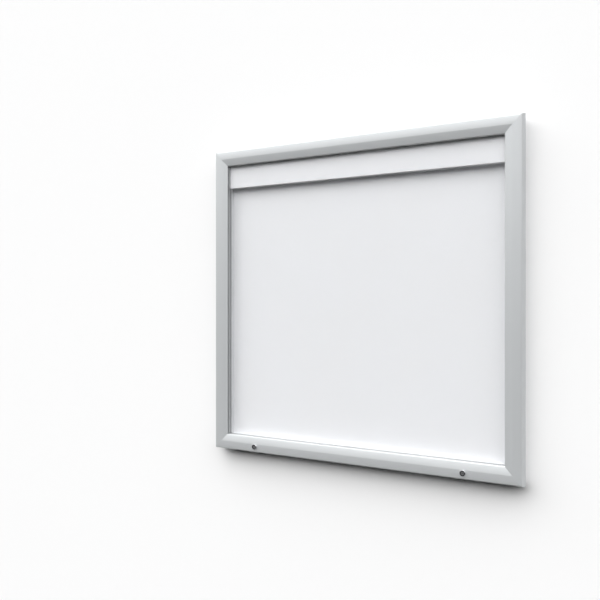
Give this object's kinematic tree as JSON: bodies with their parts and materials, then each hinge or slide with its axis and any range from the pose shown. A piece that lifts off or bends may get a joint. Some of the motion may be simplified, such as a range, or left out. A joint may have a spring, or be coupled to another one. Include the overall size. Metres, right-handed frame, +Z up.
{
  "type": "lockable notice board",
  "caption": "Wall-mounted lockable notice board: shallow mitred aluminium case, white display panel and header, and a top-hinged glazed door with cam locks.",
  "frame": {"origin": "centre of the back face, where the board meets the wall", "axes": "+Z up, +X to the right seen from the front, +Y into the wall; the door faces -Y"},
  "size_m": [0.778, 0.0399, 0.75],
  "materials": {
    "anodised_aluminium": "satin silver anodised",
    "plain_aluminium": "mill finish",
    "white_steel": "white enamel, smooth",
    "backing_board": "grey board",
    "clear_sheet": "clear polycarbonate",
    "grey_rubber": "matt",
    "black_rubber": "matt",
    "stainless_steel": "brushed",
    "lock_nickel": "dark satin nickel",
    "lock_plug": "dark satin nickel"
  },
  "bodies": {
    "case": {"backing_board": "backing_board", "case_corner_keys": "plain_aluminium", "case_rail_bottom": "anodised_aluminium", "case_rail_left": "anodised_aluminium", "case_rail_right": "anodised_aluminium", "case_rail_top": "anodised_aluminium", "display_panel": "white_steel", "header_brackets": "plain_aluminium", "header_panel": "white_steel", "hinge_leaf_case": "stainless_steel", "hinge_pin": "stainless_steel", "hinge_screws_case": "stainless_steel", "keeper_screws": "stainless_steel", "lock_keeper_left": "stainless_steel", "lock_keeper_right": "stainless_steel", "stay_track_left": "plain_aluminium", "stay_track_right": "plain_aluminium", "stay_track_screws": "plain_aluminium", "weather_seal": "black_rubber"},
    "door": {"door_corner_keys": "plain_aluminium", "door_rail_bottom": "anodised_aluminium", "door_rail_left": "anodised_aluminium", "door_rail_right": "anodised_aluminium", "door_rail_top": "anodised_aluminium", "glazing": "clear_sheet", "glazing_bead_bottom": "anodised_aluminium", "glazing_bead_left": "anodised_aluminium", "glazing_bead_right": "anodised_aluminium", "glazing_bead_top": "anodised_aluminium", "glazing_gasket": "grey_rubber", "hinge_leaf_door": "stainless_steel", "hinge_screws_door": "stainless_steel", "lock_housing_left": "lock_nickel", "lock_housing_right": "lock_nickel", "lock_nut_left": "stainless_steel", "lock_nut_right": "stainless_steel", "stay_bracket_left": "stainless_steel", "stay_bracket_right": "stainless_steel", "stay_bracket_screws": "stainless_steel", "stay_pivot_left": "stainless_steel", "stay_pivot_right": "stainless_steel"},
    "lock_left": {"cam_screw_left": "stainless_steel", "lock_cam_left": "stainless_steel", "lock_plug_left": "lock_plug"},
    "lock_right": {"cam_screw_right": "stainless_steel", "lock_cam_right": "stainless_steel", "lock_plug_right": "lock_plug"},
    "stay_left": {"stay_arm_left": "stainless_steel", "stay_slider_left": "stainless_steel"},
    "stay_right": {"stay_arm_right": "stainless_steel", "stay_slider_right": "stainless_steel"}
  },
  "joints": [
    {"name": "door_hinge", "type": "hinge", "parent": "case", "child": "door", "pos_m": [0, -0.013, 0.3721], "axis": [-1, 0, 0], "range_deg": [0, 80]},
    {"name": "lock_turn_left", "type": "hinge", "parent": "door", "child": "lock_left", "pos_m": [-0.264, -0.014, -0.3591], "axis": [0, -1, 0], "range_deg": [0, 90]},
    {"name": "lock_turn_right", "type": "hinge", "parent": "door", "child": "lock_right", "pos_m": [0.264, -0.014, -0.3591], "axis": [0, 1, 0], "range_deg": [0, 90]},
    {"name": "stay_swing_left", "type": "hinge", "parent": "door", "child": "stay_left", "pos_m": [-0.3733, -0.013, 0.2021], "axis": [1, 0, 0], "range_deg": [0, 160]},
    {"name": "stay_swing_right", "type": "hinge", "parent": "door", "child": "stay_right", "pos_m": [0.3733, -0.013, 0.2021], "axis": [1, 0, 0], "range_deg": [0, 160]}
  ],
  "couplings": [
    {"joint": "stay_swing_left", "follows": "door_hinge", "ratio": 2},
    {"joint": "stay_swing_right", "follows": "door_hinge", "ratio": 2}
  ]
}
